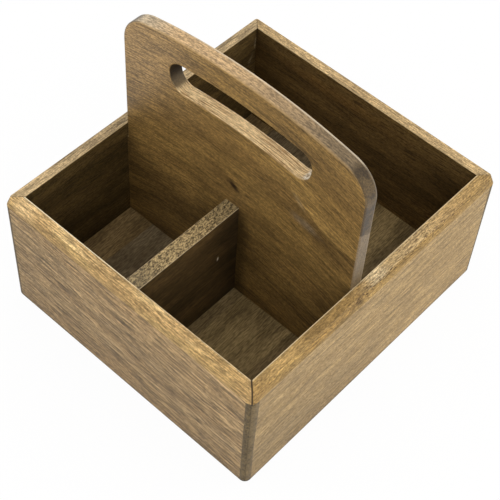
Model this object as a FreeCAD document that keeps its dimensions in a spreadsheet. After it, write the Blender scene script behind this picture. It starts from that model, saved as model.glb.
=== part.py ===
import FreeCAD, Part
import math
import os
import Sketcher

# An open box of four mitred boards with a captive floor, crossed by a tall handle board and a divider.
# The origin is at the centre of the base, +Z up. X runs along the handle board and -Y is the divided side.

os.makedirs("parts", exist_ok=True)
doc = FreeCAD.newDocument("utensil_caddy")

# ---------------------------------------------------------------- driving dimensions, in millimetres
DIMENSIONS = [
    ("box_width", 230.0),
    ("box_depth", 255.5),
    ("wall_height", 110.5),
    ("wall_thickness", 10.7),
    ("corner_radius", 5.0),
    ("rim_bevel_inward", 3.0),
    ("rim_bevel_down", 7.5),
    ("inner_rim_ease", 0.6),
    ("foot_ease", 1.5),
    ("glue_line", 0.1),
    ("floor_lift", 7.0),
    ("floor_thickness", 8.0),
    ("groove_depth", 5.0),
    ("groove_play", 0.2),
    ("panel_play", 0.5),
    ("edge_stave_width", 28.5),
    ("housing_depth", 3.2),
    ("housing_play", 0.1),
    ("housing_stop", 14.0),
    ("handle_thickness", 11.3),
    ("handle_top", 227.3),
    ("arch_radius", 410.0),
    ("shoulder_radius", 25.0),
    ("front_bay_depth", 96.0),
    ("grip_width", 20.1),
    ("slot_length", 121.0),
    ("slot_width", 24.5),
    ("slot_corner_radius", 10.5),
    ("handle_edge_round", 1.5),
    ("divider_thickness", 12.1),
    ("divider_drop", 2.1),
    ("divider_offset", -1.3),
    ("divider_edge_ease", 0.5),
    ("spline_thickness", 3.0),
    ("spline_width", 9.0),
    ("spline_height", 74.0),
    ("spline_lift", 21.0),
    ("spline_from_corner", 10.7),
    ("spline_play", 0.15),
]
sheet = doc.addObject("Spreadsheet::Sheet", "Sizes")
for row, (alias, value) in enumerate(DIMENSIONS, start=1):
    sheet.set("A%d" % row, alias)
    sheet.set("B%d" % row, str(value))
    sheet.setAlias("B%d" % row, alias)
doc.recompute()

# Places that several pieces share, each written once as an expression of the sheet's sizes.
INNER_WIDTH = "(Sizes.box_width - 2 * Sizes.wall_thickness)"
INNER_DEPTH = "(Sizes.box_depth - 2 * Sizes.wall_thickness)"
FLOOR_TOP = "(Sizes.floor_lift + Sizes.floor_thickness)"
HOUSING_TOP = "(Sizes.wall_height - Sizes.housing_stop)"
HOUSING_HEIGHT = "(%s - %s + Sizes.housing_play)" % (HOUSING_TOP, FLOOR_TOP)
TONGUE = "(Sizes.housing_depth - Sizes.housing_play)"
FRONT_BAY_START = "(Sizes.wall_thickness - Sizes.box_depth / 2)"
HANDLE_MIDDLE = "(%s + Sizes.front_bay_depth + Sizes.handle_thickness / 2)" % FRONT_BAY_START
ARCH_CENTRE_DEPTH = "(Sizes.arch_radius - Sizes.handle_top)"
SLOT_RADIUS = "(Sizes.arch_radius - Sizes.grip_width - Sizes.slot_width / 2)"
MITRE_SETBACK = "(Sizes.glue_line * sqrt(0.5))"

OVERSHOOT = 1.0
TOUCH = 0.001
X_AXIS, Y_AXIS = range(-1, -3, -1)
ORIGIN = X_AXIS
WHOLE_EDGE, START, END, CENTRE = range(4)


def value_of(expression):
    return float(sheet.evalExpression(expression))


def vec(x, y, z=0.0):
    return FreeCAD.Vector(x, y, z)


# ---------------------------------------------------------------- helpers for bodies, sketches and features
def new_body(label):
    body = doc.addObject("PartDesign::Body", label)
    body.Label = label
    return body


def origin_plane(body, role):
    return next(plane for plane in body.Origin.OriginFeatures if plane.Role == role)


def bind(item, **expressions):
    for path, expression in expressions.items():
        item.setExpression(path.replace("__", "."), expression)


def new_sketch(body, name, role):
    sketch = body.newObject("Sketcher::SketchObject", name)
    sketch.AttachmentSupport = [(origin_plane(body, role), "")]
    sketch.MapMode = "FlatFace"
    return sketch


def relate(sketch, *relations):
    """Adds geometric constraints, each given as its kind and what it joins."""
    for relation in relations:
        sketch.addConstraint(Sketcher.Constraint(*relation))


def dimension(sketch, name, expression, kind, *places):
    """Adds a named dimension at its present value and ties it to the sheet."""
    constraint = Sketcher.Constraint(kind, *places, value_of(expression))
    index = sketch.addConstraint(constraint)
    sketch.renameConstraint(index, name)
    sketch.setExpression("Constraints." + name, expression)


def draw_chain(sketch, shapes, smooth=()):
    """Draws a closed chain of lines and arcs. The ones named in smooth run smoothly into the next one."""
    numbers = [sketch.addGeometry(shape) for shape in shapes]
    for place_in_chain, number in enumerate(numbers):
        following = numbers[(place_in_chain + 1) % len(numbers)]
        kind = "Tangent" if place_in_chain in smooth else "Coincident"
        relate(sketch, (kind, number, END, following, START))
    return numbers


def line(start, end):
    return Part.LineSegment(vec(*start), vec(*end))


def arc(centre, radius, start_angle, end_angle):
    return Part.ArcOfCircle(Part.Circle(vec(*centre), vec(0, 0, 1), radius), start_angle, end_angle)


def pad_centred(body, sketch, thickness):
    pad = body.newObject("PartDesign::Pad", "board")
    pad.Profile = sketch
    pad.SideType = "Symmetric"
    pad.setExpression("Length", thickness)
    doc.recompute()


def box_feature(body, kind, name, corner, extent, turn=0.0):
    """Adds or cuts a box in a body: its low corner, its three sides and its angle about Z."""
    box = body.newObject(kind, name)
    box.AttachmentSupport = [(origin_plane(body, "XY_Plane"), "")]
    box.MapMode = "FlatFace"
    box.AttachmentOffset = FreeCAD.Placement(vec(0, 0, 0), FreeCAD.Rotation(vec(0, 0, 1), turn))
    for axis, expression in zip("xyz", corner):
        box.setExpression("AttachmentOffset.Base." + axis, expression)
    for side, expression in zip(("Length", "Width", "Height"), extent):
        box.setExpression(side, expression)
    doc.recompute()


def cut_box(body, name, corner, extent, turn=0.0):
    volume = body.Shape.Volume
    box_feature(body, "PartDesign::SubtractiveBox", name, corner, extent, turn)
    if body.Shape.Volume >= volume:
        raise RuntimeError("%s cuts nothing from %s" % (name, body.Label))


def dress_edges(body, kind, name, wanted, **expressions):
    """Rounds or bevels the edges of the body's tip whose bounding boxes pass the test."""
    base = body.Tip
    edges = ["Edge%d" % number for number, edge in enumerate(base.Shape.Edges, 1) if wanted(edge.BoundBox)]
    dressed = body.newObject(kind, name)
    dressed.Base = (base, edges)
    if kind == "PartDesign::Chamfer":
        dressed.ChamferType = "Two distances"
        dressed.FlipDirection = True
    bind(dressed, **expressions)
    doc.recompute()
    return dressed


def place(item, x, y, z="0", turn=0.0):
    item.Placement = FreeCAD.Placement(vec(0, 0, 0), FreeCAD.Rotation(vec(0, 0, 1), turn))
    bind(item, Placement__Base__x=x, Placement__Base__y=y, Placement__Base__z=z)


# ---------------------------------------------------------------- walls
def wall_plan(body, long_side):
    """The wall from above: outer face on the X axis, rounded outer ends, mitres half a glue line back."""
    half = value_of(long_side) / 2
    radius = value_of("Sizes.corner_radius")
    setback = value_of(MITRE_SETBACK)
    inner_y = value_of("Sizes.wall_thickness")
    inner_x = half - inner_y - setback
    arc_end = math.radians(45) - math.acos(-setback / (radius * math.sqrt(2)))
    tip_x = half - radius + radius * math.cos(arc_end)
    tip_y = radius + radius * math.sin(arc_end)
    sketch = new_sketch(body, "plan", "XY_Plane")
    outer, right_arc, right_mitre, inner, left_mitre, left_arc = draw_chain(sketch, [
        line((radius - half, 0), (half - radius, 0)),
        arc((half - radius, radius), radius, -math.pi / 2, arc_end),
        line((tip_x, tip_y), (inner_x, inner_y)),
        line((inner_x, inner_y), (-inner_x, inner_y)),
        line((-inner_x, inner_y), (-tip_x, tip_y)),
        arc((radius - half, radius), radius, math.pi - arc_end, 3 * math.pi / 2),
    ], smooth=(0, 5))
    relate(
        sketch,
        ("PointOnObject", outer, START, X_AXIS),
        ("Symmetric", outer, START, outer, END, Y_AXIS),
        ("Symmetric", inner, START, inner, END, Y_AXIS),
        ("Symmetric", right_mitre, START, left_mitre, END, Y_AXIS),
        ("Angle", right_mitre, math.radians(135)),
    )
    dimension(sketch, "radius", "Sizes.corner_radius", "Radius", right_arc)
    dimension(sketch, "arc_centre", long_side + " / 2 - Sizes.corner_radius", "DistanceX",
              ORIGIN, START, right_arc, CENTRE)
    inner_end = "%s / 2 - Sizes.wall_thickness - %s" % (long_side, MITRE_SETBACK)
    dimension(sketch, "inner_end", inner_end, "DistanceX", ORIGIN, START, inner, START)
    dimension(sketch, "thickness", "Sizes.wall_thickness", "DistanceY", ORIGIN, START, inner, START)
    doc.recompute()
    return sketch


def cut_spline_slots(body, long_side):
    """A slot square to each mitre face, half as deep as the loose tongue is wide."""
    depth = "(Sizes.spline_width / 2 + Sizes.spline_play)"
    width = "(Sizes.spline_thickness + 2 * Sizes.spline_play)"
    near = "(Sizes.spline_from_corner - %s / 2)" % width
    height = "Sizes.spline_height + 2 * Sizes.spline_play"
    bottom = "Sizes.spline_lift - Sizes.spline_play"
    from_end = "(%s + %s) * sqrt(0.5)" % (depth, near)
    from_face = "(%s - %s) * sqrt(0.5)" % (near, depth)
    cut_box(
        body, "spline_slot_right",
        ("%s / 2 - %s" % (long_side, from_end), from_face, bottom),
        ("%s + %g" % (depth, OVERSHOOT), width, height), turn=45.0,
    )
    cut_box(
        body, "spline_slot_left",
        ("%s - %s / 2" % (from_end, long_side), from_face, bottom),
        (width, "%s + %g" % (depth, OVERSHOOT), height), turn=45.0,
    )


def make_wall(label, long_side, x, y, turn, housing_middle=None, housed_thickness=None):
    """One mitred board with the floor's groove and, where a cross board ends on it, a stopped housing."""
    body = new_body(label)
    pad = body.newObject("PartDesign::Pad", "board")
    pad.Profile = wall_plan(body, long_side)
    pad.setExpression("Length", "Sizes.wall_height")
    doc.recompute()
    height = value_of("Sizes.wall_height")
    inner_y = value_of("Sizes.wall_thickness")
    radius = value_of("Sizes.corner_radius")

    def on_outer_plan(box):
        return box.YMin < TOUCH and box.YMax < radius

    dress_edges(
        body, "PartDesign::Chamfer", "rim_bevel",
        lambda box: on_outer_plan(box) and box.ZMin > height - TOUCH,
        Size="Sizes.rim_bevel_inward", Size2="Sizes.rim_bevel_down",
    )
    dress_edges(
        body, "PartDesign::Fillet", "foot_ease", lambda box: on_outer_plan(box) and box.ZMax < TOUCH,
        Radius="Sizes.foot_ease",
    )
    dress_edges(
        body, "PartDesign::Fillet", "inner_rim_ease",
        lambda box: box.YMin > inner_y - TOUCH and box.ZMin > height - TOUCH,
        Radius="Sizes.inner_rim_ease",
    )
    cut_box(
        body, "floor_groove",
        ("-%s / 2" % long_side, "Sizes.wall_thickness - Sizes.groove_depth", "Sizes.floor_lift"),
        (long_side, "Sizes.groove_depth + %g" % OVERSHOOT, "Sizes.floor_thickness + Sizes.groove_play"),
    )
    if housing_middle:
        width = "(%s + 2 * Sizes.housing_play)" % housed_thickness
        low_end = "%s - %s / 2" % (housing_middle, width)
        cut_box(
            body, "housing",
            (low_end, "Sizes.wall_thickness - Sizes.housing_depth", FLOOR_TOP),
            (width, "Sizes.housing_depth + %g" % OVERSHOOT, HOUSING_HEIGHT),
        )
    cut_spline_slots(body, long_side)
    place(body, x, y, turn=turn)
    return body


def make_walls():
    return [
        make_wall("front_wall", "Sizes.box_width", "0", "-Sizes.box_depth / 2", 0.0,
                  "Sizes.divider_offset", "Sizes.divider_thickness"),
        make_wall("right_wall", "Sizes.box_depth", "Sizes.box_width / 2", "0", 90.0,
                  HANDLE_MIDDLE, "Sizes.handle_thickness"),
        make_wall("back_wall", "Sizes.box_width", "0", "Sizes.box_depth / 2", 180.0),
        make_wall("left_wall", "Sizes.box_depth", "-Sizes.box_width / 2", "0", 270.0,
                  "-" + HANDLE_MIDDLE, "Sizes.handle_thickness"),
    ]


# ---------------------------------------------------------------- floor
def make_floor():
    """Five edge-glued staves, loose in the walls' groove all round, so that the panel can swell."""
    panel_width = "(%s + 2 * (Sizes.groove_depth - Sizes.panel_play))" % INNER_WIDTH
    panel_depth = "(%s + 2 * (Sizes.groove_depth - Sizes.panel_play))" % INNER_DEPTH
    full_staves = 4
    full_width = "((%s - Sizes.edge_stave_width) / %d)" % (panel_width, full_staves)
    starts = ["-%s / 2" % panel_width]
    for staves_left in range(full_staves, 0, -1):
        starts.append("%s / 2 - %d * %s" % (panel_width, staves_left, full_width))
    widths = ["Sizes.edge_stave_width"] + [full_width] * full_staves
    staves = []
    for number, (start, width) in enumerate(zip(starts, widths), 1):
        stave = doc.addObject("Part::Box", "floor_stave_%d" % number)
        stave.Label = "floor_stave_%d" % number
        bind(stave, Length=width, Width=panel_depth, Height="Sizes.floor_thickness")
        place(stave, start, "-%s / 2" % panel_depth, "Sizes.floor_lift")
        staves.append(stave)
    return staves


# ---------------------------------------------------------------- handle board
def handle_outline(body):
    """Front view: tongues up to the stopped housings, then straight sides to one shallow arch."""
    half = value_of(INNER_WIDTH) / 2
    tongue_end = half + value_of(TONGUE)
    bottom = value_of(FLOOR_TOP)
    step = value_of(HOUSING_TOP)
    radius = value_of("Sizes.arch_radius")
    centre = -value_of(ARCH_CENTRE_DEPTH)
    half_angle = math.asin(half / radius)
    side_top = centre + radius * math.cos(half_angle)
    sketch = new_sketch(body, "outline", "XZ_Plane")
    base, right_tongue, right_step, right_side, arch, left_side, left_step, left_tongue = draw_chain(sketch, [
        line((-tongue_end, bottom), (tongue_end, bottom)),
        line((tongue_end, bottom), (tongue_end, step)),
        line((tongue_end, step), (half, step)),
        line((half, step), (half, side_top)),
        arc((0, centre), radius, math.pi / 2 - half_angle, math.pi / 2 + half_angle),
        line((-half, side_top), (-half, step)),
        line((-half, step), (-tongue_end, step)),
        line((-tongue_end, step), (-tongue_end, bottom)),
    ])
    relate(
        sketch,
        ("Symmetric", base, START, base, END, Y_AXIS),
        ("Symmetric", right_tongue, END, left_tongue, START, Y_AXIS),
        ("Symmetric", right_side, START, left_side, END, Y_AXIS),
        ("Symmetric", right_side, END, left_side, START, Y_AXIS),
        ("Vertical", right_tongue),
        ("Horizontal", right_step),
        ("Vertical", right_side),
    )
    half_base = "%s / 2 + %s" % (INNER_WIDTH, TONGUE)
    dimension(sketch, "half_base", half_base, "DistanceX", ORIGIN, START, base, END)
    dimension(sketch, "bottom", FLOOR_TOP, "DistanceY", ORIGIN, START, base, END)
    dimension(sketch, "half_width", INNER_WIDTH + " / 2", "DistanceX", ORIGIN, START, right_side, START)
    dimension(sketch, "step", HOUSING_TOP, "DistanceY", ORIGIN, START, right_side, START)
    dimension(sketch, "arch", "Sizes.arch_radius", "Radius", arch)
    dimension(sketch, "arch_centre", ARCH_CENTRE_DEPTH, "DistanceY", arch, CENTRE, ORIGIN, START)
    doc.recompute()
    return sketch


def slot_outline(body):
    """The hand slot: a band that follows the arch, closed by two lines through the arch's centre."""
    middle = value_of(SLOT_RADIUS)
    low_radius = middle - value_of("Sizes.slot_width") / 2
    high_radius = middle + value_of("Sizes.slot_width") / 2
    centre = -value_of(ARCH_CENTRE_DEPTH)
    half_angle = value_of("Sizes.slot_length") / 2 / middle
    right = math.pi / 2 - half_angle
    left = math.pi / 2 + half_angle

    def at(radius, angle):
        return radius * math.cos(angle), centre + radius * math.sin(angle)

    sketch = new_sketch(body, "slot_outline", "XZ_Plane")
    high = sketch.addGeometry(arc((0, centre), high_radius, right, left))
    low = sketch.addGeometry(arc((0, centre), low_radius, right, left))
    right_end = sketch.addGeometry(line(at(low_radius, right), at(high_radius, right)))
    left_end = sketch.addGeometry(line(at(high_radius, left), at(low_radius, left)))
    relate(
        sketch,
        ("Coincident", low, START, right_end, START),
        ("Coincident", right_end, END, high, START),
        ("Coincident", high, END, left_end, START),
        ("Coincident", left_end, END, low, END),
        ("Coincident", low, CENTRE, high, CENTRE),
        ("PointOnObject", low, CENTRE, right_end),
        ("PointOnObject", low, CENTRE, left_end),
        ("Symmetric", high, START, high, END, Y_AXIS),
    )
    dimension(sketch, "low_radius", SLOT_RADIUS + " - Sizes.slot_width / 2", "Radius", low)
    dimension(sketch, "high_radius", SLOT_RADIUS + " + Sizes.slot_width / 2", "Radius", high)
    dimension(sketch, "centre", ARCH_CENTRE_DEPTH, "DistanceY", low, CENTRE, ORIGIN, START)
    end_angle = "Sizes.slot_length / 2 / %s * 180 / pi" % SLOT_RADIUS
    rise = "(%s + Sizes.slot_width / 2) * cos(%s)" % (SLOT_RADIUS, end_angle)
    dimension(sketch, "end_rise", rise, "DistanceY", low, CENTRE, high, START)
    doc.recompute()
    return sketch


def make_handle_board():
    """The cross board: housed in both side walls, on the floor, rising to a rounded carrying handle."""
    body = new_body("handle_board")
    pad_centred(body, handle_outline(body), "Sizes.handle_thickness")
    rim = value_of("Sizes.wall_height")
    half = value_of(INNER_WIDTH) / 2
    thickness = value_of("Sizes.handle_thickness")

    def through_edge(box):
        runs_through = box.YLength > thickness - TOUCH and box.XLength < TOUCH and box.ZLength < TOUCH
        return runs_through and box.ZMin > rim

    dress_edges(
        body, "PartDesign::Fillet", "shoulders",
        lambda box: through_edge(box) and abs(box.XMin) > half - TOUCH,
        Radius="Sizes.shoulder_radius",
    )
    volume = body.Shape.Volume
    slot = body.newObject("PartDesign::Pocket", "hand_slot")
    slot.Profile = slot_outline(body)
    slot.Type = "ThroughAll"
    slot.SideType = "Symmetric"
    doc.recompute()
    if body.Shape.Volume >= volume:
        raise RuntimeError("the hand slot cuts nothing")
    slot_half = value_of("Sizes.slot_length") / 2
    dress_edges(
        body, "PartDesign::Fillet", "slot_corners",
        lambda box: through_edge(box) and abs(box.XMin) < slot_half + value_of("Sizes.slot_width"),
        Radius="Sizes.slot_corner_radius",
    )
    dress_edges(
        body, "PartDesign::Fillet", "eased_grip", lambda box: box.YLength < TOUCH and box.ZMax > rim,
        Radius="Sizes.handle_edge_round",
    )
    width = "(Sizes.divider_thickness + 2 * Sizes.housing_play)"
    cut_box(
        body, "divider_housing",
        ("Sizes.divider_offset - %s / 2" % width, "-Sizes.handle_thickness / 2 - %g" % OVERSHOOT, FLOOR_TOP),
        (width, "Sizes.housing_depth + %g" % OVERSHOOT, HOUSING_HEIGHT),
    )
    place(body, "0", HANDLE_MIDDLE)
    return body


# ---------------------------------------------------------------- divider
def make_divider():
    """The short cross board from the front wall to the handle board, housed at both ends below the rim."""
    body = new_body("cross_divider")
    half = value_of("Sizes.front_bay_depth") / 2
    tongue_end = half + value_of(TONGUE)
    bottom = value_of(FLOOR_TOP)
    step = value_of(HOUSING_TOP)
    top = value_of("Sizes.wall_height - Sizes.divider_drop")
    sketch = new_sketch(body, "outline", "YZ_Plane")
    outline = draw_chain(sketch, [
        line((-tongue_end, bottom), (tongue_end, bottom)),
        line((tongue_end, bottom), (tongue_end, step)),
        line((tongue_end, step), (half, step)),
        line((half, step), (half, top)),
        line((half, top), (-half, top)),
        line((-half, top), (-half, step)),
        line((-half, step), (-tongue_end, step)),
        line((-tongue_end, step), (-tongue_end, bottom)),
    ])
    base, back_tongue, back_step, back_side, upper, front_side, front_step, front_tongue = outline
    relate(
        sketch,
        ("Symmetric", base, START, base, END, Y_AXIS),
        ("Symmetric", back_tongue, END, front_tongue, START, Y_AXIS),
        ("Symmetric", back_side, START, front_side, END, Y_AXIS),
        ("Symmetric", upper, START, upper, END, Y_AXIS),
        ("Vertical", back_tongue),
        ("Horizontal", back_step),
        ("Vertical", back_side),
    )
    half_base = "Sizes.front_bay_depth / 2 + " + TONGUE
    dimension(sketch, "half_base", half_base, "DistanceX", ORIGIN, START, base, END)
    dimension(sketch, "bottom", FLOOR_TOP, "DistanceY", ORIGIN, START, base, END)
    dimension(sketch, "half_bay", "Sizes.front_bay_depth / 2", "DistanceX", ORIGIN, START, back_side, START)
    dimension(sketch, "step", HOUSING_TOP, "DistanceY", ORIGIN, START, back_side, START)
    upper_height = "Sizes.wall_height - Sizes.divider_drop"
    dimension(sketch, "top", upper_height, "DistanceY", ORIGIN, START, upper, START)
    pad_centred(body, sketch, "Sizes.divider_thickness")
    dress_edges(
        body, "PartDesign::Fillet", "eased_top", lambda box: box.ZMin > top - TOUCH and box.XLength < TOUCH,
        Radius="Sizes.divider_edge_ease",
    )
    place(body, "Sizes.divider_offset", FRONT_BAY_START + " + Sizes.front_bay_depth / 2")
    return body


# ---------------------------------------------------------------- loose tongues in the mitres
def make_splines():
    """One loose tongue in each corner, square to the mitre and stopped below the rim."""
    corners = [
        ("front_right", 1, -1, 45.0),
        ("back_right", 1, 1, 135.0),
        ("back_left", -1, 1, 225.0),
        ("front_left", -1, -1, 315.0),
    ]
    splines = []
    for corner, x_side, y_side, turn in corners:
        body = new_body("mitre_spline_" + corner)
        box_feature(
            body, "PartDesign::AdditiveBox", "tongue",
            ("-Sizes.spline_width / 2", "Sizes.spline_from_corner - Sizes.spline_thickness / 2", "0"),
            ("Sizes.spline_width", "Sizes.spline_thickness", "Sizes.spline_height"),
        )
        corner_x = "%d * Sizes.box_width / 2" % x_side
        corner_y = "%d * Sizes.box_depth / 2" % y_side
        place(body, corner_x, corner_y, "Sizes.spline_lift", turn)
        splines.append(body)
    return splines


# ---------------------------------------------------------------- build, check and write
subparts = make_walls() + make_floor() + [make_handle_board(), make_divider()] + make_splines()
doc.recompute()
for item in doc.Objects:
    if "Invalid" in item.State or "Error" in item.State:
        raise RuntimeError("%s failed: %s" % (item.Label, item.State))
for subpart in subparts:
    shape = subpart.Shape
    if shape.isNull() or not shape.isValid() or len(shape.Solids) != 1:
        raise RuntimeError("%s is not one valid solid" % subpart.Label)
for subpart in subparts:
    subpart.Shape.exportStep("parts/%s.step" % subpart.Label)
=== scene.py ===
import math

import bpy
from mathutils import Matrix, Vector

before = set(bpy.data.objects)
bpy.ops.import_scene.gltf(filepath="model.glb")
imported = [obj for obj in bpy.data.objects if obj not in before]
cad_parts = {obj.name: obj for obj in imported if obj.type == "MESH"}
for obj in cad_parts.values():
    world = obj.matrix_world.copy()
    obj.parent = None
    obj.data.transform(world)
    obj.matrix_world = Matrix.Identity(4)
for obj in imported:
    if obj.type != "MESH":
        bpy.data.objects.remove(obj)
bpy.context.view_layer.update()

# ---------------------------------------------------------------- walls
# Four boards of a coarse, open-pored hardwood, mitred at the corners and glued round a loose tongue.
# They were wiped with a dark stain, which end grain drank deepest, and the rims were then sanded back
# to the golden wood and everything was oiled. Places and lengths on the wood are in millimetres.
MILLIMETRES = 1000.0
BOX_HALF_WIDTH = 115.0
BOX_HALF_DEPTH = 127.75
WALL_THICKNESS = 10.7
END_GRAIN_REACH = 5.7
RIM_STARTS = 101.5
UNDER_RIM_TOP = 110.0


def stain(red, green, blue):
    """A colour as it is given, 0 to 255, turned into the light it sends back."""
    parts = []
    for part in (red, green, blue):
        part = part / 255
        parts.append(part / 12.92 if part <= 0.04045 else ((part + 0.055) / 1.055) ** 2.4)
    return (*parts, 1.0)


class Layers:
    """Steps that work out a value or a colour at each point of a surface."""

    def __init__(self, tree):
        self.tree = tree

    def node(self, kind, **settings):
        made = self.tree.nodes.new(kind)
        for name, value in settings.items():
            setattr(made, name, value)
        return made

    def feed(self, socket, value):
        if isinstance(value, bpy.types.NodeSocket):
            self.tree.links.new(value, socket)
        else:
            socket.default_value = value

    def combine(self, operation, first, second=0.0):
        step = self.node("ShaderNodeMath", operation=operation)
        self.feed(step.inputs[0], first)
        self.feed(step.inputs[1], second)
        return step.outputs[0]

    def sum(self, *values):
        total = values[0]
        for value in values[1:]:
            total = self.combine("ADD", total, value)
        return total

    def product(self, *values):
        total = values[0]
        for value in values[1:]:
            total = self.combine("MULTIPLY", total, value)
        return total

    def less(self, value, taken_off):
        return self.combine("SUBTRACT", value, taken_off)

    def larger(self, first, second):
        return self.combine("MAXIMUM", first, second)

    def size_of(self, value):
        return self.combine("ABSOLUTE", value)

    def ease(self, value, low, high, to_low=0.0, to_high=1.0):
        """Turns a value into a mask that goes smoothly from one figure to another."""
        step = self.node("ShaderNodeMapRange", interpolation_type="SMOOTHSTEP")
        ends = {"Value": value, "From Min": low, "From Max": high, "To Min": to_low, "To Max": to_high}
        for name, figure in ends.items():
            self.feed(step.inputs[name], figure)
        return step.outputs[0]

    def parts(self, vector):
        split = self.node("ShaderNodeSeparateXYZ")
        self.feed(split.inputs[0], vector)
        return split.outputs

    def join(self, x, y, z):
        joined = self.node("ShaderNodeCombineXYZ")
        for socket, value in zip(joined.inputs, (x, y, z)):
            self.feed(socket, value)
        return joined.outputs[0]

    def scaled(self, vector, factor):
        step = self.node("ShaderNodeVectorMath", operation="SCALE")
        self.feed(step.inputs[0], vector)
        self.feed(step.inputs["Scale"], factor)
        return step.outputs[0]

    def moved(self, vector, by):
        step = self.node("ShaderNodeVectorMath", operation="ADD")
        self.feed(step.inputs[0], vector)
        self.feed(step.inputs[1], by)
        return step.outputs[0]

    def mix(self, amount, first, second, blend="MIX"):
        layer = self.node("ShaderNodeMix", data_type="RGBA", blend_type=blend)
        layer.clamp_factor = True
        inputs = {socket.identifier: socket for socket in layer.inputs}
        for name, value in (("Factor_Float", amount), ("A_Color", first), ("B_Color", second)):
            self.feed(inputs[name], value)
        return next(socket for socket in layer.outputs if socket.identifier == "Result_Color")

    def shade(self, colour, amount):
        """Deepens or lightens a colour. An amount of 1 leaves it as it is."""
        return self.mix(1.0, colour, amount, "MULTIPLY")


class Finish(Layers):
    """The stain and oil on one board, laid up layer by layer."""

    def __init__(self, name, grain_along, slope, cut, bow_middle=0.0, bow_rise=0.0):
        """The grain runs along one side, sloped or bowed. The cut is the board's place in its log."""
        self.material = bpy.data.materials.new(name)
        self.material.use_nodes = True
        super().__init__(self.material.node_tree)
        self.tree.nodes.clear()
        self.oil = self.node("ShaderNodeBsdfPrincipled")
        output = self.node("ShaderNodeOutputMaterial")
        self.feed(output.inputs["Surface"], self.oil.outputs["BSDF"])
        place = self.node("ShaderNodeTexCoord")
        self.x, self.y, self.z = self.parts(self.scaled(place.outputs["Object"], MILLIMETRES))
        self.facing_x, self.facing_y, self.facing_z = self.parts(place.outputs["Normal"])
        self.along, self.across, through = {
            "X": (self.x, self.z, self.y), "Y": (self.y, self.z, self.x),
            "floor": (self.y, self.x, self.z), "Z": (self.z, self.x, self.y),
        }[grain_along]
        across = self.sum(self.product(self.along, slope), self.across)
        if bow_rise:
            off_middle = self.less(self.along, bow_middle)
            across = self.sum(across, self.product(off_middle, off_middle, bow_rise))
        self.grain = self.moved(self.join(self.along, across, through), cut)

    def fibre(self, length, width, detail, roughness, seed, flow=None, at=None):
        """Streaks in the wood, so many millimetres long and wide."""
        at = at or (self.grain if flow is None else self.moved(self.grain, flow))
        stretched = self.node("ShaderNodeVectorMath", operation="MULTIPLY_ADD")
        stretch = (1.0 / length, 1.0 / width, 1.0 / width)
        elsewhere = (7.3 * seed, 3.1 * seed, 5.7 * seed)
        for socket, value in zip(stretched.inputs, (at, stretch, elsewhere)):
            self.feed(socket, value)
        noise = self.node("ShaderNodeTexNoise", noise_dimensions="3D")
        self.feed(noise.inputs["Vector"], stretched.outputs[0])
        for name, figure in (("Scale", 1.0), ("Detail", detail), ("Roughness", roughness)):
            self.feed(noise.inputs[name], figure)
        return noise.outputs["Fac"]

    def flowing(self, length, width, wander, seed):
        """How far the grain wanders up and down, as it does round a hidden branch."""
        sway = self.less(self.fibre(length, width, 1.0, 0.5, seed), 0.5)
        return self.scaled(self.join(0.0, sway, 0.0), wander)

    def ring_lines(self, length, spacing, seed, flow=None):
        """Thin dark lines where the yearly rings meet the face, which fade in and out."""
        ring = self.less(self.fibre(length, spacing, 0.0, 0.5, seed, flow), 0.5)
        thin = self.ease(self.size_of(ring), 0.07, 0.01)
        present = self.ease(self.fibre(0.4 * length, spacing, 1.0, 0.5, seed + 0.35, flow), 0.40, 0.56)
        return self.product(thin, present)

    def parted(self, noise, to_low=0.0, to_high=1.0, softness=0.14):
        """Parts streaks into two sorts of wood, with a soft change from one to the other."""
        return self.ease(noise, 0.5 - softness, 0.5 + softness, to_low, to_high)

    def streaked(self, noise, depth):
        """How far a streak deepens or lightens the stain, as an amount round 1."""
        return self.parted(noise, 1.0 - depth, 1.0 + depth)

    def lined(self, lines, between, on_them):
        """The stain's amount between the ring lines, and on them."""
        return self.ease(lines, 0.0, 1.0, between, on_them)

    def patch(self, middle, reach, turn=0.0, ragged=0.0, seed=0.0):
        """A soft-edged mark on the board: where its middle lies, how far it reaches, and how it is turned."""
        along = self.less(self.along, middle[0])
        up = self.less(self.across, middle[1])
        cosine, sine = math.cos(math.radians(turn)), math.sin(math.radians(turn))
        lengthways = self.sum(self.product(along, cosine / reach[0]), self.product(up, sine / reach[0]))
        sideways = self.sum(self.product(up, cosine / reach[1]), self.product(along, -sine / reach[1]))
        measured = self.node("ShaderNodeVectorMath", operation="LENGTH")
        self.feed(measured.inputs[0], self.join(lengthways, sideways, 0.0))
        distance = measured.outputs["Value"]
        if ragged:
            torn = self.less(self.fibre(2.0 * reach[1], reach[1], 3.0, 0.6, seed), 0.5)
            distance = self.sum(distance, self.product(torn, ragged))
        return self.ease(distance, 1.0, 0.1)

    def toned_and_shaded(self, colour, tones_and_shade):
        """Broad places painted a little lighter (over 1) or darker (under 1): partly the stain's own
        unevenness, partly painted light and shade.
        """
        for middle, reach, amount in tones_and_shade:
            colour = self.shade(colour, self.ease(self.patch(middle, reach), 0.0, 1.0, 1.0, amount))
        return colour

    def relief(self, height, depth):
        """Real relief of so many millimetres, felt by the light only."""
        bump = self.node("ShaderNodeBump")
        self.feed(bump.inputs["Height"], self.product(height, depth / MILLIMETRES))
        bump.inputs["Strength"].default_value = 1.0
        bump.inputs["Distance"].default_value = 1.0
        self.feed(self.oil.inputs["Normal"], bump.outputs[0])

    def finish(self, colour, roughness, specular):
        self.feed(self.oil.inputs["Base Color"], colour)
        self.feed(self.oil.inputs["Roughness"], roughness)
        self.oil.inputs["Specular IOR Level"].default_value = specular

    def lay_on(self, *nodes):
        for name in nodes:
            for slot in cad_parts[name].material_slots:
                slot.material = self.material


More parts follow.
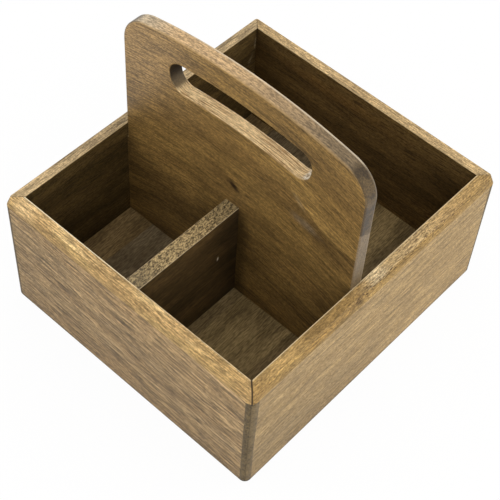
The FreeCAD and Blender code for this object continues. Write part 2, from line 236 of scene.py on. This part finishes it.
class WallFinish(Finish):
    """Stained faces, a golden pitted rim, dark end grain on the rounded corners and a line at each mitre."""

    def __init__(self, wall, seed, grain_along, slope, tint):
        super().__init__(wall + "_oiled", grain_along, slope, (seed * 137.0, seed * 61.0, seed * 29.0))
        self.seed = seed
        self.tint = tint
        self.flow = self.flowing(120.0, 40.0, 14.0, 5.0 + seed)
        self.hair = self.fibre(2.2, 0.8, 1.0, 0.6, 3.0 + seed)
        self.pores = self.ease(self.fibre(13.0, 0.8, 0.0, 0.5, 4.0 + seed, self.flow), 0.55, 0.63)
        self.end_x = self.less(BOX_HALF_WIDTH, self.size_of(self.x))
        self.end_y = self.less(BOX_HALF_DEPTH, self.size_of(self.y))
        self.from_outside = self.end_y if grain_along == "X" else self.end_x
        self.from_corner = self.larger(self.end_x, self.end_y)
        spread = self.ease(self.z, 40.0, 105.0, 0.0, tint["end_spreads"])
        on_corner = self.less(self.from_corner, spread)
        self.rounded = self.ease(on_corner, END_GRAIN_REACH - 0.1, END_GRAIN_REACH - 0.4)

    def dress(self, wall, mitres):
        colour = self.mix(self.rounded, self.faces(), self.end_grain())
        colour = self.mix(self.sanded_back(), colour, self.rim())
        # Painted shadow: a dark band along the foot of each wall, where it stands on the table.
        colour = self.shade(colour, self.ease(self.z, 4.2, 1.6, 1.0, 0.6))
        colour = self.mix(self.mitre_lines(*mitres), colour, self.tint["mitre"])
        self.finish(colour, self.parted(self.hair, 0.62, 0.50, 0.15), 0.25)
        self.relief(self.sum(self.product(self.hair, 0.7), self.product(self.pores, -0.5)), 0.10)
        self.lay_on(wall)

    def faces(self):
        """The outside, and the inside, which is painted darker as painted shade."""
        seed, tint = self.seed, self.tint
        wash = self.parted(self.fibre(140.0, 15.0, 2.0, 0.5, 1.0 + seed, self.flow))
        figure = self.fibre(90.0, 4.0, 2.0, 0.6, 2.0 + seed, self.flow)
        threads = self.fibre(15.0, 0.7, 0.0, 0.5, 3.3 + seed)
        broad_lines = self.ring_lines(90.0, 2.4, 2.5 + seed, self.flow)
        close_lines = self.ring_lines(60.0, 1.8, 2.7 + seed, self.flow)
        lines = self.larger(broad_lines, close_lines)

        outer = self.mix(wash, tint["dark"], tint["light"])
        foot_from, foot_to, foot_shade = tint["foot"]
        foot = self.product(self.ease(self.z, 62.0, 20.0), self.ease(self.along, foot_from, foot_to))
        outer = self.shade(outer, self.ease(foot, 0.0, 1.0, 1.0, foot_shade))
        # Painted shade: each outer face darker towards its end away from the light.
        outer = self.shade(outer, self.ease(self.along, *tint["painted_end_shade"]))
        # Partly painted light and shade: the face lighter just under the rim and darker lower down.
        outer = self.toned_and_shaded(outer, tint["tones_and_shade"])
        soaked = self.lined(lines, 1.0 + 0.25 * tint["lines"], 1.0 - tint["lines"])
        fine = (self.streaked(self.hair, tint["hair"]), self.streaked(threads, tint["threads"]))
        outer = self.shade(outer, self.product(soaked, *fine))

        # The inside is darker than the outside as painted shade.
        inner = self.mix(wash, tint["inside_dark"], tint["inside_light"])
        # Inside marks: glue smears, and on the back wall a painted band of light near the top.
        for middle, reach, turn, amount, mark in tint["inside_marks_and_painted_light"]:
            inner = self.mix(self.product(self.patch(middle, reach, turn, 0.8, seed), amount), inner, mark)
        inner = self.shade(inner, self.product(self.lined(lines, 1.05, 0.75), self.streaked(self.hair, 0.26)))

        outward = self.sum(self.product(self.x, self.facing_x), self.product(self.y, self.facing_y))
        inside = self.ease(outward, -4.0, -20.0)
        colour = self.shade(self.mix(inside, outer, inner), self.streaked(figure, 0.05))
        # Painted shade also deepens the pores on the inside.
        pore = self.shade(tint["pore"], self.ease(inside, 0.0, 1.0, 1.0, 0.4))
        return self.mix(self.product(self.pores, tint["pores_open"]), colour, pore)

    def end_grain(self):
        """What the rounded corner lays open."""
        mottle = self.fibre(1.8, 1.0, 4.0, 0.65, 7.0 + self.seed)
        blotch = self.fibre(14.0, 9.0, 2.0, 0.5, 7.5 + self.seed)
        drunk = self.mix(self.parted(mottle, softness=0.16), self.tint["end_dark"], self.tint["end_light"])
        return self.shade(drunk, self.parted(blotch, 0.85, 1.12, 0.15))

    def sanded_back(self):
        """How far the sander took the stain off, with a ragged lower edge except on the end grain."""
        wander = self.product(self.less(self.fibre(22.0, 3.0, 2.0, 0.6, 9.5 + self.seed), 0.5), 5.0)
        ragged = self.ease(self.sum(self.z, wander), RIM_STARTS - 1.5, RIM_STARTS + 6.0)
        straight = self.ease(self.z, RIM_STARTS, RIM_STARTS + 0.6)
        return self.product(self.ease(self.facing_z, 0.15, 0.25), self.mix(self.rounded, ragged, straight))

    def rim(self):
        """The golden wood of the rim: its bevel, its flat top, its pits and a painted highlight along its
        inner edge.
        """
        seed, tint = self.seed, self.tint
        bevel = self.shade(tint["bevel"], self.ease(self.along, -110.0, 10.0, tint["bevel_low_end"], 1.0))
        # Painted shading: the bevel lighter towards its top.
        bevel = self.shade(bevel, self.ease(self.z, 103.0, UNDER_RIM_TOP, 0.98, 1.08))
        gold = self.mix(self.ease(self.facing_z, 0.55, 0.8), bevel, tint["rim"])
        gold = self.shade(gold, self.ease(self.along, *tint["rim_fades"]))
        blush = self.ease(self.fibre(45.0, 11.0, 2.0, 0.5, 9.0 + seed), 0.40, 0.62)
        gold = self.mix(self.product(blush, 0.75), gold, tint["rim_worn"])
        # Rim marks: stains, pale spots and knots, and on the right rim a painted glint.
        for middle, reach, amount, mark in tint["rim_marks_and_glint"]:
            patch = self.patch(middle, reach, 0.0, 0.9, 13.0 + seed)
            gold = self.mix(self.product(patch, amount), gold, mark)
        gold = self.shade(gold, self.streaked(self.fibre(1.8, 0.85, 1.0, 0.6, 6.0 + seed), 0.24))
        gold = self.shade(gold, self.streaked(self.fibre(9.0, 0.7, 0.0, 0.5, 6.3 + seed), tint["threads"]))
        gold = self.shade(gold, self.lined(self.ring_lines(50.0, 2.0, 6.1 + seed), 1.06, 0.66))
        gold = self.shade(gold, self.streaked(self.fibre(24.0, 4.0, 2.0, 0.5, 6.2 + seed), 0.08))

        pitted = self.ease(self.fibre(30.0, 9.0, 2.0, 0.5, 8.0 + seed), 0.44, 0.62, tint["pits"], 1.0)
        for middle, reach in tint["knots"]:
            pitted = self.sum(pitted, self.product(self.patch(middle, reach, 0.0, 1.2, 12.0 + seed), 1.2))
        pits = self.ease(self.fibre(3.0, 0.9, 3.0, 0.7, 6.5 + seed), 0.49, 0.64)
        deeper_on_bevel = self.ease(self.facing_z, 0.55, 0.8, tint["pits_on_bevel"], 0.5)
        gold = self.mix(self.product(pits, pitted, deeper_on_bevel), gold, tint["pit"])

        # Painted highlight: a thin pale line along the rim's inner edge.
        inner_edge_highlight = self.product(
            self.ease(self.less(WALL_THICKNESS, self.from_outside), 1.1, 0.6),
            self.ease(self.z, UNDER_RIM_TOP - 1.2, UNDER_RIM_TOP - 0.6),
            self.ease(self.along, -30.0, 20.0, 1.0, tint["arris_high_end"]))
        return self.mix(self.product(inner_edge_highlight, tint["arris_highlight"]), gold, tint["arris"])

    def mitre_lines(self, low_end, high_end):
        """The glue line on the rim: how dark and how wide it is at each end of the board."""
        low_dark, low_width = low_end
        high_dark, high_width = high_end
        at_high_end = self.ease(self.along, -1.0, 1.0)
        dark = self.sum(low_dark, self.product(at_high_end, high_dark - low_dark))
        width = self.sum(low_width, self.product(at_high_end, high_width - low_width))
        open_tip = self.ease(self.from_corner, 7.2, 8.6, 0.0, 0.95)
        off_mitre = self.size_of(self.less(self.end_x, self.end_y))
        line = self.ease(self.less(off_mitre, width), 0.35, -0.35)
        on_rim = self.ease(self.z, RIM_STARTS - 0.5, RIM_STARTS)
        return self.product(line, self.larger(dark, open_tip), on_rim)


FRONT_TINT = {
    "dark": stain(146, 119, 80), "light": stain(168, 140, 98),
    "pore": stain(76, 56, 32), "pores_open": 0.6,
    "lines": 0.55, "hair": 0.26, "threads": 0.30,
    "painted_end_shade": (-115.0, -10.0, 0.92, 1.02),
    "foot": (-40.0, 60.0, 0.96),
    "tones_and_shade": (
        ((0.0, 98.0), (230.0, 16.0), 1.16), ((10.0, 95.0), (26.0, 9.0), 1.08),
        ((60.0, 80.0), (50.0, 15.0), 1.09), ((-25.0, 32.0), (56.0, 16.0), 0.88),
        ((5.0, 56.0), (110.0, 14.0), 0.84), ((82.0, 17.0), (36.0, 9.0), 0.88),
        ((-100.0, 101.0), (24.0, 9.0), 1.12), ((-60.0, 40.0), (60.0, 10.0), 0.96),
        ((0.0, 30.0), (230.0, 30.0), 0.91),
    ),
    "inside_dark": stain(80, 61, 30), "inside_light": stain(104, 79, 42), "inside_marks_and_painted_light": (),
    "end_dark": stain(64, 51, 28), "end_light": stain(116, 97, 62), "end_spreads": 0.0,
    "rim": stain(216, 184, 128), "rim_worn": stain(176, 142, 92), "rim_fades": (-110.0, 70.0, 1.05, 0.96),
    "bevel": stain(190, 158, 102), "bevel_low_end": 0.76,
    "rim_marks_and_glint": (
        ((-98.0, 110.0), (17.0, 12.0), 0.8, stain(224, 190, 136)),
        ((84.0, 110.0), (40.0, 12.0), 0.6, stain(178, 144, 90)),
    ),
    "pit": stain(92, 68, 34), "pits": 0.18, "pits_on_bevel": 0.6, "knots": (),
    "arris": stain(250, 234, 196), "arris_highlight": 1.0, "arris_high_end": 0.35,
    "mitre": stain(52, 38, 20),
}
RIGHT_TINT = {
    **FRONT_TINT,
    "dark": stain(162, 134, 88), "light": stain(178, 149, 101),
    "pore": stain(112, 89, 56), "pores_open": 0.35,
    "lines": 0.26, "hair": 0.24, "threads": 0.20,
    "painted_end_shade": (-125.0, 60.0, 0.88, 1.05),
    "foot": (60.0, -60.0, 0.86),
    "tones_and_shade": (
        ((-30.0, 72.0), (125.0, 11.0), 1.11), ((-95.0, 36.0), (56.0, 18.0), 0.87),
        ((-20.0, 31.0), (66.0, 12.0), 0.87), ((40.0, 101.0), (130.0, 8.0), 1.09),
    ),
    "end_dark": stain(82, 66, 40), "end_light": stain(130, 110, 74), "end_spreads": 1.6,
    "rim": stain(184, 150, 94), "rim_worn": stain(152, 120, 70), "rim_fades": (-115.0, -60.0, 0.92, 1.0),
    "bevel": stain(184, 149, 88), "bevel_low_end": 0.95,
    "rim_marks_and_glint": (
        ((-48.0, 110.0), (46.0, 12.0), 0.7, stain(142, 114, 68)),
        ((28.0, 110.5), (60.0, 3.0), 0.6, stain(212, 184, 136)),
        ((-22.5, 107.0), (5.5, 3.4), 0.85, stain(70, 50, 24)),
        ((-29.0, 106.0), (4.0, 2.4), 0.7, stain(84, 62, 32)),
        # Painted glint: an orange gleam on the bevel.
        ((-58.0, 106.0), (32.0, 4.5), 0.55, stain(190, 148, 80)),
        ((0.0, 110.5), (15.0, 3.5), 0.7, stain(230, 206, 162)),
        ((24.0, 108.0), (66.0, 3.6), 0.6, stain(124, 95, 48)),
        ((60.0, 104.5), (80.0, 2.4), 0.4, stain(134, 104, 60)),
        ((112.0, 106.5), (22.0, 6.0), 0.6, stain(146, 118, 72)),
        ((75.0, 110.5), (34.0, 4.5), 0.5, stain(168, 138, 92)),
    ),
    "pit": stain(84, 60, 30), "pits": 0.6, "pits_on_bevel": 1.0,
    "knots": (((-22.0, 107.0), (4.5, 3.5)), ((-4.0, 109.0), (30.0, 4.0)), ((46.0, 109.0), (44.0, 4.0))),
    "arris": stain(232, 210, 166), "arris_highlight": 0.75, "arris_high_end": 0.8,
}
BACK_TINT = {
    **FRONT_TINT,
    "dark": stain(136, 112, 76), "light": stain(168, 143, 102), "tones_and_shade": (),
    "inside_dark": stain(84, 65, 34), "inside_light": stain(116, 92, 52),
    # Painted light: a lighter band near the top of the back wall's inside.
    "inside_marks_and_painted_light": (((-20.0, 96.0), (95.0, 9.0), 0.0, 0.6, stain(138, 106, 58)),),
    "rim": stain(198, 168, 120), "rim_worn": stain(174, 146, 102), "rim_fades": (-110.0, 70.0, 1.0, 1.0),
    "bevel": stain(184, 155, 108), "rim_marks_and_glint": (),
    "pit": stain(90, 70, 42), "pits": 0.5,
    "arris": stain(200, 176, 132), "arris_highlight": 0.4, "arris_high_end": 1.0,
}
LEFT_TINT = {
    **BACK_TINT,
    "inside_dark": stain(76, 60, 30), "inside_light": stain(104, 83, 46),
    "inside_marks_and_painted_light": (
        ((115.6, 96.0), (9.0, 1.0), 88.0, 0.7, stain(176, 160, 130)),
        ((111.0, 81.0), (9.0, 2.4), 66.0, 0.5, stain(150, 132, 102)),
    ),
    "rim": stain(190, 164, 122), "rim_worn": stain(166, 142, 104), "rim_fades": (-104.0, -56.0, 1.10, 0.78),
}
FAINT, CLEAR, CRISP = (0.30, 0.3), (0.50, 0.4), (0.95, 0.75)
WALLS = (
    ("front_wall", "X", 0.03, FRONT_TINT, (FAINT, CRISP)),
    ("right_wall", "Y", 0.0, RIGHT_TINT, (CRISP, FAINT)),
    ("back_wall", "X", 0.0, BACK_TINT, (CLEAR, FAINT)),
    ("left_wall", "Y", 0.0, LEFT_TINT, (FAINT, CLEAR)),
)
for seed, (wall, grain_along, slope, tint, mitres) in enumerate(WALLS, start=1):
    WallFinish(wall, seed, grain_along, slope, tint).dress(wall, mitres)

# ---------------------------------------------------------------- floor
# Five narrow staves glued edge to edge, then slid into the groove of the walls and left loose there.
# They were stained but never sanded back, so they stay dull and greyer than the walls.
STAVE_TINTS = {
    "floor_stave_1": (stain(122, 99, 62), stain(146, 120, 78)),
    "floor_stave_2": (stain(110, 93, 66), stain(130, 112, 82)),
    "floor_stave_3": (stain(126, 106, 70), stain(152, 129, 88)),
    "floor_stave_4": (stain(130, 109, 70), stain(160, 136, 90)),
    "floor_stave_5": (stain(114, 95, 60), stain(140, 117, 78)),
}
for seed, (stave, (dark, light)) in enumerate(STAVE_TINTS.items(), start=11):
    board = Finish(stave + "_stained", "floor", 0.04, (seed * 97.0, seed * 41.0, seed * 17.0))
    flow = board.flowing(60.0, 30.0, 8.0, seed + 0.2)
    blotch = board.fibre(40.0, 14.0, 2.0, 0.5, seed + 0.3)
    figure = board.fibre(50.0, 1.8, 3.0, 0.6, seed + 0.4, flow)
    lines = board.ring_lines(70.0, 2.2, seed + 0.6, flow)
    hair = board.fibre(5.0, 0.8, 1.0, 0.6, seed + 0.5)
    colour = board.mix(board.parted(blotch), dark, light)
    # Painted shade: the staves darker towards the back of the box.
    shaded_towards_back = board.ease(board.y, -30.0, 20.0, 1.0, 0.86)
    colour = board.shade(colour, board.product(board.streaked(figure, 0.09), shaded_towards_back))
    colour = board.shade(colour, board.product(board.lined(lines, 1.05, 0.68), board.streaked(hair, 0.28)))
    board.finish(colour, board.parted(hair, 0.75, 0.6, 0.15), 0.25)
    board.relief(hair, 0.12)
    board.lay_on(stave)

# ---------------------------------------------------------------- handle board
# One wide board that stands across the box in stopped housings. Its top was sawn to a shallow arch, the
# hand slot was routed through and every edge above the rim was eased. It is the warmest, best oiled piece.
FRONT_FACE, BACK_FACE = -21.05, -9.75
SLOT_REACH = 64.0
SLOT_LOW, SLOT_HIGH = 176.0, 210.0
handle = Finish("handle_board_oiled", "X", 0.0, (310.0, 40.0, 22.0), bow_middle=-15.0, bow_rise=0.0015)
flow = handle.flowing(110.0, 50.0, 12.0, 20.0)
wash = handle.fibre(120.0, 16.0, 2.0, 0.5, 22.0, flow)
figure = handle.fibre(60.0, 2.0, 3.0, 0.6, 22.5, flow)
lines = handle.ring_lines(90.0, 2.2, 23.5, flow)
hair = handle.fibre(2.2, 0.8, 1.0, 0.6, 23.0)
threads = handle.fibre(15.0, 0.7, 0.0, 0.5, 23.3)
pores = handle.ease(handle.fibre(14.0, 1.0, 0.0, 0.5, 25.0, flow), 0.58, 0.66)
on_front = handle.ease(handle.facing_y, -0.5, -0.8)

# The two broad faces, with a painted sheen that makes them paler towards the upper left corner.
face = handle.mix(handle.parted(wash, softness=0.16), stain(118, 91, 49), stain(149, 117, 64))
painted_sheen_corner = handle.product(handle.ease(handle.x, -15.0, -85.0), handle.ease(handle.z, 130.0, 190.0))
face = handle.mix(handle.product(painted_sheen_corner, 0.8), face, stain(166, 133, 84))

# A seam of the heartwood dips away beside the knot, with a bright side above it and a dark one below.
seam_height = handle.ease(handle.x, 45.0, 88.0, 161.0, 139.5)
above = handle.less(handle.z, seam_height)
past_knot = handle.ease(handle.x, 12.0, 52.0)
bright_side = handle.product(handle.ease(above, 0.0, 2.0), handle.ease(above, 34.0, 6.0), past_knot)
face = handle.mix(handle.product(bright_side, 0.45), face, stain(164, 131, 74))
dark_side = handle.product(handle.ease(above, 0.0, -3.0), handle.ease(above, -40.0, -8.0), past_knot)
face = handle.mix(handle.product(dark_side, 0.45), face, stain(90, 69, 38))

# The knot and the shades round it, and then what was rubbed pale on the front.
KNOT_MARKS = (
    ((-22.0, 126.0), (48.0, 18.0), -8.0, 0.42, stain(96, 73, 41)),
    ((-6.0, 128.0), (24.0, 9.0), -18.0, 0.55, stain(84, 62, 34)),
    ((-1.0, 127.5), (10.0, 4.0), -38.0, 0.95, stain(44, 29, 14)),
    ((12.0, 127.0), (7.0, 3.0), 20.0, 0.6, stain(62, 44, 22)),
    ((-84.5, 132.0), (19.0, 1.2), 22.0, 0.5, stain(84, 62, 34)),
)
for middle, reach, turn, amount, mark in KNOT_MARKS:
    patch = handle.patch(middle, reach, turn, 0.8, 26.0 + middle[0])
    face = handle.mix(handle.product(patch, amount), face, mark)
SCUFFS = (
    ((61.0, 141.0), (20.0, 5.5), -12.0, 0.65, stain(136, 118, 92)),
    ((54.0, 158.5), (10.0, 3.0), -42.0, 0.5, stain(158, 136, 100)),
)
for middle, reach, turn, amount, rubbed in SCUFFS:
    patch = handle.patch(middle, reach, turn, 0.8, 26.0 + middle[0])
    face = handle.mix(handle.product(patch, amount, on_front), face, rubbed)
seam = handle.product(handle.ease(handle.size_of(above), 1.3, 0.3), past_knot)
face = handle.mix(handle.product(seam, 0.5), face, stain(76, 56, 28))
# Painted shade in the corner to the right of the divider, low on the front face.
shade_beside_divider = handle.product(
    handle.ease(handle.x, 22.0, 4.0), handle.ease(handle.x, 0.0, 2.0), handle.ease(handle.z, 114.0, 96.0),
    on_front)
face = handle.shade(face, handle.ease(shade_beside_divider, 0.0, 1.0, 1.0, 0.42))
# Partly painted light and shade: darker low down beside the divider and the walls, lighter on the upper parts
# and the lower left.
HANDLE_TONES_AND_SHADE = (
    ((-65.0, 95.0), (50.0, 38.0), 1.26), ((-42.0, 80.0), (18.0, 20.0), 1.22),
    ((64.0, 81.0), (48.0, 18.0), 1.34), ((0.0, 167.0), (52.0, 13.0), 1.24),
    ((60.0, 153.0), (44.0, 11.0), 1.24), ((-82.0, 149.0), (28.0, 11.0), 1.32),
    ((40.0, 156.0), (16.0, 8.0), 1.14), ((22.0, 134.0), (24.0, 24.0), 0.80),
    ((75.0, 105.0), (44.0, 14.0), 0.88), ((52.0, 127.0), (32.0, 10.0), 0.86),
    ((-12.0, 145.0), (26.0, 9.0), 0.88), ((-14.0, 114.0), (20.0, 10.0), 1.20),
    ((0.0, 105.0), (9.0, 9.0), 0.74), ((104.0, 104.0), (15.0, 28.0), 0.80),
    ((-106.0, 80.0), (15.0, 50.0), 0.82), ((18.0, 57.0), (16.0, 13.0), 0.74),
    ((82.0, 56.0), (20.0, 8.0), 0.85),
)
face = handle.toned_and_shaded(face, HANDLE_TONES_AND_SHADE)
grain = handle.product(
    handle.streaked(figure, 0.05), handle.lined(lines, 1.05, 0.64), handle.streaked(hair, 0.28),
    handle.streaked(threads, 0.20))
face = handle.shade(face, grain)
face = handle.mix(handle.product(pores, 0.4), face, stain(64, 46, 24))

# The arched top edge, pinkish to the left, palest near the left corner and smoky at the right shoulder.
edge = handle.mix(handle.ease(handle.x, -30.0, 92.0), stain(192, 159, 115), stain(112, 94, 68))
edge = handle.mix(handle.ease(handle.x, -55.0, -92.0, 0.0, 0.7), edge, stain(188, 174, 148))
rasped = handle.join(handle.x, handle.y, handle.product(handle.z, 0.3))
edge = handle.shade(edge, handle.streaked(handle.fibre(2.6, 0.9, 1.0, 0.6, 24.0, at=rasped), 0.3))
edge = handle.shade(edge, handle.streaked(handle.fibre(22.0, 1.1, 1.0, 0.6, 24.5, at=rasped), 0.2))
colour = handle.mix(handle.ease(handle.facing_z, 0.45, 0.8), face, edge)

# The two ends are end grain, stained darker below a slanting line.
end_grain = handle.larger(
    handle.ease(handle.facing_x, 0.26, 0.50), handle.ease(handle.facing_x, -0.40, -0.75))
patches = handle.ease(handle.fibre(12.0, 9.0, 3.0, 0.55, 26.0), 0.44, 0.58)
ends = handle.mix(patches, stain(66, 52, 32), stain(92, 74, 46))
slanted_z = handle.sum(handle.z, handle.product(handle.y, 0.5))
ends = handle.mix(handle.ease(slanted_z, 157.0, 155.0, 0.0, 0.75), ends, stain(126, 108, 82))
ends = handle.shade(ends, handle.ease(handle.z, 155.0, 112.0, 1.08, 0.86))
ends = handle.shade(ends, handle.streaked(handle.fibre(1.2, 0.9, 2.0, 0.65, 27.0), 0.30))
colour = handle.mix(end_grain, colour, ends)

# The eased edges: worn pale in front, painted shade down the left end and a painted highlight along the back
# of the arch.
off_faces = handle.ease(handle.size_of(handle.facing_y), 0.97, 0.90)
front_arris = handle.product(off_faces, handle.ease(handle.y, FRONT_FACE + 1.6, FRONT_FACE + 1.1))
back_arris_highlight = handle.product(off_faces, handle.ease(handle.y, BACK_FACE - 2.2, BACK_FACE - 1.5))
off_right_end = handle.ease(handle.facing_x, 0.05, 0.4, 0.45, 0.06)
colour = handle.mix(handle.product(front_arris, off_right_end), colour, stain(180, 146, 94))
left_arris_shade = handle.product(front_arris, handle.ease(handle.facing_x, -0.25, -0.55))
colour = handle.mix(handle.product(left_arris_shade, 0.7), colour, stain(88, 74, 46))
on_the_arch = handle.product(
    handle.ease(handle.x, -80.0, 0.0, 0.2, 0.55), handle.ease(handle.facing_x, 0.6, 0.35, 0.2, 1.0))
colour = handle.mix(handle.product(back_arris_highlight, on_the_arch), colour, stain(232, 214, 184))

# The slot: bare routed wood with long pores, between a left end in painted shade, darkest at the top, and a
# speckled right end.
in_slot = handle.product(
    handle.ease(handle.size_of(handle.facing_y), 0.85, 0.7),
    handle.ease(handle.size_of(handle.x), SLOT_REACH, SLOT_REACH - 1.0),
    handle.ease(handle.z, SLOT_LOW, SLOT_LOW + 1.0), handle.ease(handle.z, SLOT_HIGH, SLOT_HIGH - 1.0))
long_pores = handle.ease(handle.fibre(34.0, 0.6, 1.0, 0.6, 29.0, at=rasped), 0.38, 0.56)
routed = handle.mix(long_pores, stain(146, 112, 68), stain(218, 188, 138))
routed = handle.shade(routed, handle.streaked(handle.fibre(3.0, 0.8, 1.0, 0.6, 29.5, at=rasped), 0.22))
# Painted shade: the left end of the slot, darkest at the top.
shaded_left_end = handle.mix(handle.ease(handle.z, 180.0, 192.0), stain(100, 83, 54), stain(38, 28, 15))
left_mottle = handle.fibre(2.0, 1.2, 3.0, 0.6, 30.0)
shaded_left_end = handle.shade(shaded_left_end, handle.parted(left_mottle, 0.8, 1.2, 0.2))
routed = handle.mix(handle.ease(handle.facing_x, 0.25, 0.70), routed, shaded_left_end)
right_specks = handle.ease(handle.fibre(2.6, 1.8, 3.0, 0.6, 31.0), 0.42, 0.56)
right_end = handle.mix(right_specks, stain(140, 116, 84), stain(232, 220, 196))
routed = handle.mix(handle.ease(handle.facing_x, -0.25, -0.60), routed, right_end)
colour = handle.mix(in_slot, colour, routed)
handle.finish(colour, handle.parted(hair, 0.50, 0.42, 0.15), 0.32)
handle.relief(handle.sum(hair, handle.product(pores, -0.5)), 0.05)
handle.lay_on("handle_board")

# ---------------------------------------------------------------- divider
# A short board between the front wall and the handle board, housed at both ends and a little below the rim.
# Its top was left as it came from the saw, so the stain lies on it in specks.
divider = Finish("cross_divider_oiled", "Y", 0.0, (77.0, 510.0, 12.0))
flow = divider.flowing(80.0, 40.0, 8.0, 30.0)
wash = divider.fibre(90.0, 12.0, 2.0, 0.5, 31.0, flow)
figure = divider.fibre(50.0, 1.8, 3.0, 0.6, 31.5, flow)
hair = divider.fibre(5.0, 0.8, 1.0, 0.6, 32.0)
lines = divider.ring_lines(80.0, 2.4, 32.5, flow)
colour = divider.mix(divider.parted(wash), stain(72, 56, 30), stain(98, 76, 44))
grain = divider.product(divider.streaked(figure, 0.09), divider.lined(lines, 1.06, 0.66))
colour = divider.shade(colour, grain)
colour = divider.shade(colour, divider.streaked(hair, 0.34))
# Painted shade: the divider's sides darker towards the handle board.
colour = divider.shade(colour, divider.ease(divider.y, -62.0, -22.0, 1.08, 0.5))
chip = divider.product(
    divider.patch((-40.8, 69.3), (3.0, 1.1), 80.0), divider.ease(divider.facing_x, 0.5, 0.8))
colour = divider.mix(chip, colour, stain(236, 222, 196))

specks = divider.ease(divider.fibre(1.7, 0.9, 3.0, 0.7, 33.0), 0.38, 0.62)
top = divider.mix(specks, stain(76, 60, 35), stain(194, 168, 118))
top = divider.shade(top, divider.streaked(divider.fibre(9.0, 5.0, 3.0, 0.6, 34.0), 0.16))
saw_marks = divider.node("ShaderNodeTexWave", wave_type="BANDS", bands_direction="X")
across_saw = divider.sum(divider.y, divider.product(divider.x, 0.7))
divider.feed(saw_marks.inputs["Vector"], divider.join(across_saw, 0.0, 0.0))
for name, amount in (("Scale", 0.16), ("Distortion", 2.0), ("Detail", 2.0)):
    saw_marks.inputs[name].default_value = amount
top = divider.shade(top, divider.ease(saw_marks.outputs["Fac"], 0.2, 0.8, 0.90, 1.10))
top = divider.mix(divider.ease(divider.y, -92.0, -108.0, 0.0, 0.2), top, stain(134, 120, 94))
# Painted shade: the top darker next to the front wall and towards the handle board.
top = divider.shade(top, divider.ease(divider.y, -88.0, -102.0, 1.0, 0.80))
top = divider.shade(top, divider.ease(divider.y, -52.0, -28.0, 1.05, 0.72))
colour = divider.mix(divider.ease(divider.facing_z, 0.4, 0.8), colour, top)
worn_edge = divider.product(
    divider.ease(divider.size_of(divider.facing_x), 0.15, 0.4), divider.ease(divider.facing_z, 0.15, 0.4))
colour = divider.mix(divider.product(worn_edge, 0.6), colour, stain(204, 182, 144))
divider.finish(colour, 0.55, 0.35)
divider.relief(hair, 0.12)
divider.lay_on("cross_divider")

# ---------------------------------------------------------------- loose tongues
# Four slips of bare pale wood, glued across the mitres inside the corners, where nothing shows them.
# They went in before the stain, so none of it reached them.
tongue = Finish("mitre_spline_bare", "Z", 0.0, (5.0, 3.0, 9.0))
slip = tongue.fibre(20.0, 0.8, 3.0, 0.55, 41.0)
tongue.finish(tongue.mix(tongue.parted(slip), stain(178, 146, 98), stain(206, 176, 126)), 0.7, 0.35)
tongue.relief(slip, 0.05)
for corner in ("front_right", "back_right", "back_left", "front_left"):
    tongue.lay_on("mitre_spline_" + corner)

# ---------------------------------------------------------------- table and light
# A matt white table top under one broad, soft light from all round, which is a little stronger overhead
# and from the right. Whatever looks straight at either of them sees almost plain white.
TABLE_HALF = 6.0
GLOW_SHARE = 0.95
BASE_LIGHT, OVERHEAD, FROM_THE_RIGHT = 0.86, 0.32, 0.30


def looked_at(layers):
    """Whether a surface is seen, straight from the camera, in a reflection or through something clear."""
    path = layers.node("ShaderNodeLightPath")
    seen = layers.larger(path.outputs["Is Camera Ray"], path.outputs["Is Glossy Ray"])
    return layers.larger(seen, path.outputs["Is Transmission Ray"])


table_corners = [(x * TABLE_HALF, y * TABLE_HALF, 0) for x, y in ((-1, -1), (1, -1), (1, 1), (-1, 1))]
table_mesh = bpy.data.meshes.new("table_top")
table_mesh.from_pydata(table_corners, [], [(0, 1, 2, 3)])
table = bpy.data.objects.new("table_top", table_mesh)
bpy.context.scene.collection.objects.link(table)
table_paint = bpy.data.materials.new("table_white")
table_paint.use_nodes = True
paint = Layers(table_paint.node_tree)
paint.tree.nodes.clear()
matt = paint.node("ShaderNodeBsdfDiffuse")
matt.inputs["Color"].default_value = (0.98, 0.975, 0.965, 1)
glow = paint.node("ShaderNodeEmission")
glow.inputs["Color"].default_value = (1.0, 1.0, 1.0, 1)
blend = paint.node("ShaderNodeMixShader")
paint.feed(blend.inputs[0], paint.product(looked_at(paint), GLOW_SHARE))
paint.feed(blend.inputs[1], matt.outputs[0])
paint.feed(blend.inputs[2], glow.outputs[0])
paint.feed(paint.node("ShaderNodeOutputMaterial").inputs["Surface"], blend.outputs[0])
table_mesh.materials.append(table_paint)

world = bpy.data.worlds.new("soft_surround")
world.use_nodes = True
bpy.context.scene.world = world
sky = Layers(world.node_tree)
heading = sky.parts(sky.node("ShaderNodeTexCoord").outputs["Generated"])
overhead = sky.product(heading["Z"], OVERHEAD)
sideways = sky.product(heading["X"], FROM_THE_RIGHT)
strength = sky.sum(BASE_LIGHT, sky.sum(overhead, sideways))
strength = sky.sum(strength, sky.product(looked_at(sky), sky.less(1.0, strength)))
background = sky.tree.nodes["Background"]
background.inputs["Color"].default_value = (1.0, 1.0, 1.0, 1)
sky.feed(background.inputs["Strength"], strength)

# ---------------------------------------------------------------- camera
# Held above the near corner with a long lens, and turned a little about its own axis.
EYE = Vector((0.36627, -0.45047, 0.80090))
LOOK_AT = Vector((0.00884, -0.01079, 0.05525))
ROLL = 0.07519
LENS, SENSOR, SEES_TO = 94.01, 36.0, 50.0
bpy.context.scene.view_settings.view_transform = "Standard"
ahead = (LOOK_AT - EYE).normalized()
level = ahead.cross(Vector((0, 0, 1))).normalized()
upright = level.cross(ahead)
right = math.cos(ROLL) * level + math.sin(ROLL) * upright
up = math.cos(ROLL) * upright - math.sin(ROLL) * level
lens = bpy.data.cameras.new("camera")
lens.lens = LENS
lens.sensor_width = SENSOR
lens.clip_end = SEES_TO
camera = bpy.data.objects.new("camera", lens)
camera.matrix_world = Matrix.Translation(EYE) @ Matrix((right, up, -ahead)).transposed().to_4x4()
bpy.context.scene.collection.objects.link(camera)
bpy.context.scene.camera = camera
